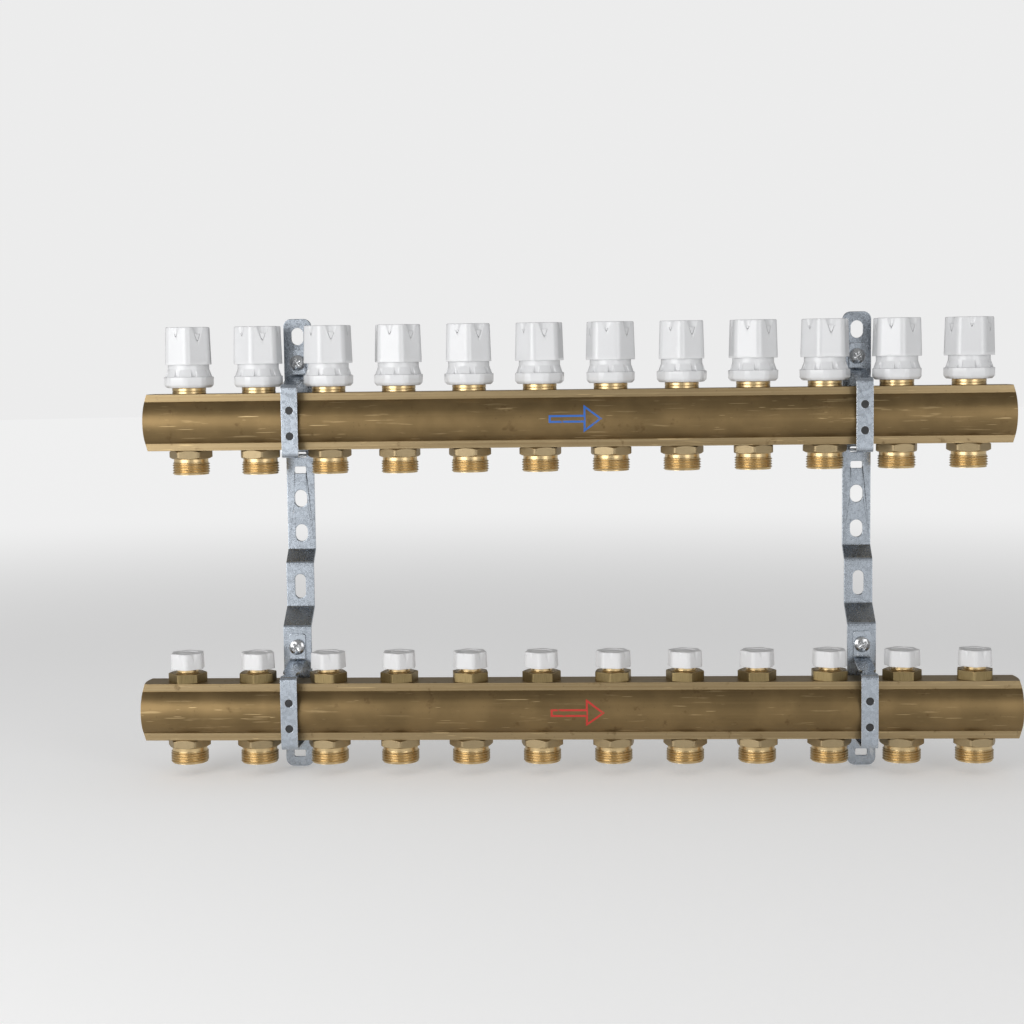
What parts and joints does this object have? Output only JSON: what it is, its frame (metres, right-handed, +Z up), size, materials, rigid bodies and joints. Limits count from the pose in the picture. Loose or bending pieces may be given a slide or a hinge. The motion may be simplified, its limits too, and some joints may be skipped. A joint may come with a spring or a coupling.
{
  "type": "underfloor heating manifold",
  "caption": "Wall-mounted brass underfloor heating manifold: return bar with white handwheels above a flow bar with capped lockshields, strapped to joggled zinc-plated brackets.",
  "frame": {"origin": "on the wall plane, midway between the brackets, level with the lower bar's axis", "axes": "+X along the bars to the right, +Y into the wall, +Z up"},
  "size_m": [0.61, 0.074, 0.32],
  "materials": {
    "drawn_brass": "drawn, dull with age",
    "turned_brass": "machined",
    "white_gloss_plastic": "moulded gloss",
    "white_satin_plastic": "moulded satin",
    "black_rubber": "moulded",
    "zinc_plated_steel": "zinc plated",
    "plated_screw_steel": "bright plated",
    "spring_steel": "drawn wire",
    "stainless_steel": "turned"
  },
  "bodies": {
    "manifold": {"upper_bar": "drawn_brass", "lower_bar": "drawn_brass", "valve_inserts": "turned_brass", "lockshield_bodies": "turned_brass", "outlet_nipples": "turned_brass", "knob_collars": "white_gloss_plastic", "seal_rings": "black_rubber", "return_springs": "spring_steel", "bracket_plates": "zinc_plated_steel", "clamp_straps": "zinc_plated_steel", "clamp_pads": "black_rubber", "clamp_screws": "plated_screw_steel"},
    "valve_pin_01": {"valve_pin_01": "stainless_steel"},
    "handwheel_01": {"handwheel_01": "white_gloss_plastic"},
    "lockshield_spindle_01": {"lockshield_spindle_01": "turned_brass"},
    "lockshield_cap_01": {"lockshield_cap_01": "white_satin_plastic"},
    "valve_pin_02": {"valve_pin_02": "stainless_steel"},
    "handwheel_02": {"handwheel_02": "white_gloss_plastic"},
    "lockshield_spindle_02": {"lockshield_spindle_02": "turned_brass"},
    "lockshield_cap_02": {"lockshield_cap_02": "white_satin_plastic"},
    "valve_pin_03": {"valve_pin_03": "stainless_steel"},
    "handwheel_03": {"handwheel_03": "white_gloss_plastic"},
    "lockshield_spindle_03": {"lockshield_spindle_03": "turned_brass"},
    "lockshield_cap_03": {"lockshield_cap_03": "white_satin_plastic"},
    "valve_pin_04": {"valve_pin_04": "stainless_steel"},
    "handwheel_04": {"handwheel_04": "white_gloss_plastic"},
    "lockshield_spindle_04": {"lockshield_spindle_04": "turned_brass"},
    "lockshield_cap_04": {"lockshield_cap_04": "white_satin_plastic"},
    "valve_pin_05": {"valve_pin_05": "stainless_steel"},
    "handwheel_05": {"handwheel_05": "white_gloss_plastic"},
    "lockshield_spindle_05": {"lockshield_spindle_05": "turned_brass"},
    "lockshield_cap_05": {"lockshield_cap_05": "white_satin_plastic"},
    "valve_pin_06": {"valve_pin_06": "stainless_steel"},
    "handwheel_06": {"handwheel_06": "white_gloss_plastic"},
    "lockshield_spindle_06": {"lockshield_spindle_06": "turned_brass"},
    "lockshield_cap_06": {"lockshield_cap_06": "white_satin_plastic"},
    "valve_pin_07": {"valve_pin_07": "stainless_steel"},
    "handwheel_07": {"handwheel_07": "white_gloss_plastic"},
    "lockshield_spindle_07": {"lockshield_spindle_07": "turned_brass"},
    "lockshield_cap_07": {"lockshield_cap_07": "white_satin_plastic"},
    "valve_pin_08": {"valve_pin_08": "stainless_steel"},
    "handwheel_08": {"handwheel_08": "white_gloss_plastic"},
    "lockshield_spindle_08": {"lockshield_spindle_08": "turned_brass"},
    "lockshield_cap_08": {"lockshield_cap_08": "white_satin_plastic"},
    "valve_pin_09": {"valve_pin_09": "stainless_steel"},
    "handwheel_09": {"handwheel_09": "white_gloss_plastic"},
    "lockshield_spindle_09": {"lockshield_spindle_09": "turned_brass"},
    "lockshield_cap_09": {"lockshield_cap_09": "white_satin_plastic"},
    "valve_pin_10": {"valve_pin_10": "stainless_steel"},
    "handwheel_10": {"handwheel_10": "white_gloss_plastic"},
    "lockshield_spindle_10": {"lockshield_spindle_10": "turned_brass"},
    "lockshield_cap_10": {"lockshield_cap_10": "white_satin_plastic"},
    "valve_pin_11": {"valve_pin_11": "stainless_steel"},
    "handwheel_11": {"handwheel_11": "white_gloss_plastic"},
    "lockshield_spindle_11": {"lockshield_spindle_11": "turned_brass"},
    "lockshield_cap_11": {"lockshield_cap_11": "white_satin_plastic"},
    "valve_pin_12": {"valve_pin_12": "stainless_steel"},
    "handwheel_12": {"handwheel_12": "white_gloss_plastic"},
    "lockshield_spindle_12": {"lockshield_spindle_12": "turned_brass"},
    "lockshield_cap_12": {"lockshield_cap_12": "white_satin_plastic"}
  },
  "joints": [
    {"name": "valve_pin_slide_01", "type": "slide", "parent": "manifold", "child": "valve_pin_01", "axis": [0, 0, 1], "range_m": [0, 0.003]},
    {"name": "handwheel_turn_01", "type": "hinge", "parent": "valve_pin_01", "child": "handwheel_01", "pos_m": [-0.275, -0.023, 0.252], "axis": [0, 0, 1], "range_deg": [0, 540]},
    {"name": "lockshield_spindle_slide_01", "type": "slide", "parent": "manifold", "child": "lockshield_spindle_01", "axis": [0, 0, 1], "range_m": [-0.00395, 0]},
    {"name": "lockshield_cap_lift_01", "type": "slide", "parent": "manifold", "child": "lockshield_cap_01", "axis": [0, 0, 1], "range_m": [0, 0.015]},
    {"name": "valve_pin_slide_02", "type": "slide", "parent": "manifold", "child": "valve_pin_02", "axis": [0, 0, 1], "range_m": [0, 0.003]},
    {"name": "handwheel_turn_02", "type": "hinge", "parent": "valve_pin_02", "child": "handwheel_02", "pos_m": [-0.225, -0.023, 0.252], "axis": [0, 0, 1], "range_deg": [0, 540]},
    {"name": "lockshield_spindle_slide_02", "type": "slide", "parent": "manifold", "child": "lockshield_spindle_02", "axis": [0, 0, 1], "range_m": [-0.00395, 0]},
    {"name": "lockshield_cap_lift_02", "type": "slide", "parent": "manifold", "child": "lockshield_cap_02", "axis": [0, 0, 1], "range_m": [0, 0.015]},
    {"name": "valve_pin_slide_03", "type": "slide", "parent": "manifold", "child": "valve_pin_03", "axis": [0, 0, 1], "range_m": [0, 0.003]},
    {"name": "handwheel_turn_03", "type": "hinge", "parent": "valve_pin_03", "child": "handwheel_03", "pos_m": [-0.175, -0.023, 0.252], "axis": [0, 0, 1], "range_deg": [0, 540]},
    {"name": "lockshield_spindle_slide_03", "type": "slide", "parent": "manifold", "child": "lockshield_spindle_03", "axis": [0, 0, 1], "range_m": [-0.00395, 0]},
    {"name": "lockshield_cap_lift_03", "type": "slide", "parent": "manifold", "child": "lockshield_cap_03", "axis": [0, 0, 1], "range_m": [0, 0.015]},
    {"name": "valve_pin_slide_04", "type": "slide", "parent": "manifold", "child": "valve_pin_04", "axis": [0, 0, 1], "range_m": [0, 0.003]},
    {"name": "handwheel_turn_04", "type": "hinge", "parent": "valve_pin_04", "child": "handwheel_04", "pos_m": [-0.125, -0.023, 0.252], "axis": [0, 0, 1], "range_deg": [0, 540]},
    {"name": "lockshield_spindle_slide_04", "type": "slide", "parent": "manifold", "child": "lockshield_spindle_04", "axis": [0, 0, 1], "range_m": [-0.00395, 0]},
    {"name": "lockshield_cap_lift_04", "type": "slide", "parent": "manifold", "child": "lockshield_cap_04", "axis": [0, 0, 1], "range_m": [0, 0.015]},
    {"name": "valve_pin_slide_05", "type": "slide", "parent": "manifold", "child": "valve_pin_05", "axis": [0, 0, 1], "range_m": [0, 0.003]},
    {"name": "handwheel_turn_05", "type": "hinge", "parent": "valve_pin_05", "child": "handwheel_05", "pos_m": [-0.075, -0.023, 0.252], "axis": [0, 0, 1], "range_deg": [0, 540]},
    {"name": "lockshield_spindle_slide_05", "type": "slide", "parent": "manifold", "child": "lockshield_spindle_05", "axis": [0, 0, 1], "range_m": [-0.00395, 0]},
    {"name": "lockshield_cap_lift_05", "type": "slide", "parent": "manifold", "child": "lockshield_cap_05", "axis": [0, 0, 1], "range_m": [0, 0.015]},
    {"name": "valve_pin_slide_06", "type": "slide", "parent": "manifold", "child": "valve_pin_06", "axis": [0, 0, 1], "range_m": [0, 0.003]},
    {"name": "handwheel_turn_06", "type": "hinge", "parent": "valve_pin_06", "child": "handwheel_06", "pos_m": [-0.025, -0.023, 0.252], "axis": [0, 0, 1], "range_deg": [0, 540]},
    {"name": "lockshield_spindle_slide_06", "type": "slide", "parent": "manifold", "child": "lockshield_spindle_06", "axis": [0, 0, 1], "range_m": [-0.00395, 0]},
    {"name": "lockshield_cap_lift_06", "type": "slide", "parent": "manifold", "child": "lockshield_cap_06", "axis": [0, 0, 1], "range_m": [0, 0.015]},
    {"name": "valve_pin_slide_07", "type": "slide", "parent": "manifold", "child": "valve_pin_07", "axis": [0, 0, 1], "range_m": [0, 0.003]},
    {"name": "handwheel_turn_07", "type": "hinge", "parent": "valve_pin_07", "child": "handwheel_07", "pos_m": [0.025, -0.023, 0.252], "axis": [0, 0, 1], "range_deg": [0, 540]},
    {"name": "lockshield_spindle_slide_07", "type": "slide", "parent": "manifold", "child": "lockshield_spindle_07", "axis": [0, 0, 1], "range_m": [-0.00395, 0]},
    {"name": "lockshield_cap_lift_07", "type": "slide", "parent": "manifold", "child": "lockshield_cap_07", "axis": [0, 0, 1], "range_m": [0, 0.015]},
    {"name": "valve_pin_slide_08", "type": "slide", "parent": "manifold", "child": "valve_pin_08", "axis": [0, 0, 1], "range_m": [0, 0.003]},
    {"name": "handwheel_turn_08", "type": "hinge", "parent": "valve_pin_08", "child": "handwheel_08", "pos_m": [0.075, -0.023, 0.252], "axis": [0, 0, 1], "range_deg": [0, 540]},
    {"name": "lockshield_spindle_slide_08", "type": "slide", "parent": "manifold", "child": "lockshield_spindle_08", "axis": [0, 0, 1], "range_m": [-0.00395, 0]},
    {"name": "lockshield_cap_lift_08", "type": "slide", "parent": "manifold", "child": "lockshield_cap_08", "axis": [0, 0, 1], "range_m": [0, 0.015]},
    {"name": "valve_pin_slide_09", "type": "slide", "parent": "manifold", "child": "valve_pin_09", "axis": [0, 0, 1], "range_m": [0, 0.003]},
    {"name": "handwheel_turn_09", "type": "hinge", "parent": "valve_pin_09", "child": "handwheel_09", "pos_m": [0.125, -0.023, 0.252], "axis": [0, 0, 1], "range_deg": [0, 540]},
    {"name": "lockshield_spindle_slide_09", "type": "slide", "parent": "manifold", "child": "lockshield_spindle_09", "axis": [0, 0, 1], "range_m": [-0.00395, 0]},
    {"name": "lockshield_cap_lift_09", "type": "slide", "parent": "manifold", "child": "lockshield_cap_09", "axis": [0, 0, 1], "range_m": [0, 0.015]},
    {"name": "valve_pin_slide_10", "type": "slide", "parent": "manifold", "child": "valve_pin_10", "axis": [0, 0, 1], "range_m": [0, 0.003]},
    {"name": "handwheel_turn_10", "type": "hinge", "parent": "valve_pin_10", "child": "handwheel_10", "pos_m": [0.175, -0.023, 0.252], "axis": [0, 0, 1], "range_deg": [0, 540]},
    {"name": "lockshield_spindle_slide_10", "type": "slide", "parent": "manifold", "child": "lockshield_spindle_10", "axis": [0, 0, 1], "range_m": [-0.00395, 0]},
    {"name": "lockshield_cap_lift_10", "type": "slide", "parent": "manifold", "child": "lockshield_cap_10", "axis": [0, 0, 1], "range_m": [0, 0.015]},
    {"name": "valve_pin_slide_11", "type": "slide", "parent": "manifold", "child": "valve_pin_11", "axis": [0, 0, 1], "range_m": [0, 0.003]},
    {"name": "handwheel_turn_11", "type": "hinge", "parent": "valve_pin_11", "child": "handwheel_11", "pos_m": [0.225, -0.023, 0.252], "axis": [0, 0, 1], "range_deg": [0, 540]},
    {"name": "lockshield_spindle_slide_11", "type": "slide", "parent": "manifold", "child": "lockshield_spindle_11", "axis": [0, 0, 1], "range_m": [-0.00395, 0]},
    {"name": "lockshield_cap_lift_11", "type": "slide", "parent": "manifold", "child": "lockshield_cap_11", "axis": [0, 0, 1], "range_m": [0, 0.015]},
    {"name": "valve_pin_slide_12", "type": "slide", "parent": "manifold", "child": "valve_pin_12", "axis": [0, 0, 1], "range_m": [0, 0.003]},
    {"name": "handwheel_turn_12", "type": "hinge", "parent": "valve_pin_12", "child": "handwheel_12", "pos_m": [0.275, -0.023, 0.252], "axis": [0, 0, 1], "range_deg": [0, 540]},
    {"name": "lockshield_spindle_slide_12", "type": "slide", "parent": "manifold", "child": "lockshield_spindle_12", "axis": [0, 0, 1], "range_m": [-0.00395, 0]},
    {"name": "lockshield_cap_lift_12", "type": "slide", "parent": "manifold", "child": "lockshield_cap_12", "axis": [0, 0, 1], "range_m": [0, 0.015]}
  ],
  "couplings": [
    {"joint": "handwheel_turn_01", "follows": "valve_pin_slide_01", "rad_per_m": 3141.6},
    {"joint": "handwheel_turn_02", "follows": "valve_pin_slide_02", "rad_per_m": 3141.6},
    {"joint": "handwheel_turn_03", "follows": "valve_pin_slide_03", "rad_per_m": 3141.6},
    {"joint": "handwheel_turn_04", "follows": "valve_pin_slide_04", "rad_per_m": 3141.6},
    {"joint": "handwheel_turn_05", "follows": "valve_pin_slide_05", "rad_per_m": 3141.6},
    {"joint": "handwheel_turn_06", "follows": "valve_pin_slide_06", "rad_per_m": 3141.6},
    {"joint": "handwheel_turn_07", "follows": "valve_pin_slide_07", "rad_per_m": 3141.6},
    {"joint": "handwheel_turn_08", "follows": "valve_pin_slide_08", "rad_per_m": 3141.6},
    {"joint": "handwheel_turn_09", "follows": "valve_pin_slide_09", "rad_per_m": 3141.6},
    {"joint": "handwheel_turn_10", "follows": "valve_pin_slide_10", "rad_per_m": 3141.6},
    {"joint": "handwheel_turn_11", "follows": "valve_pin_slide_11", "rad_per_m": 3141.6},
    {"joint": "handwheel_turn_12", "follows": "valve_pin_slide_12", "rad_per_m": 3141.6}
  ]
}
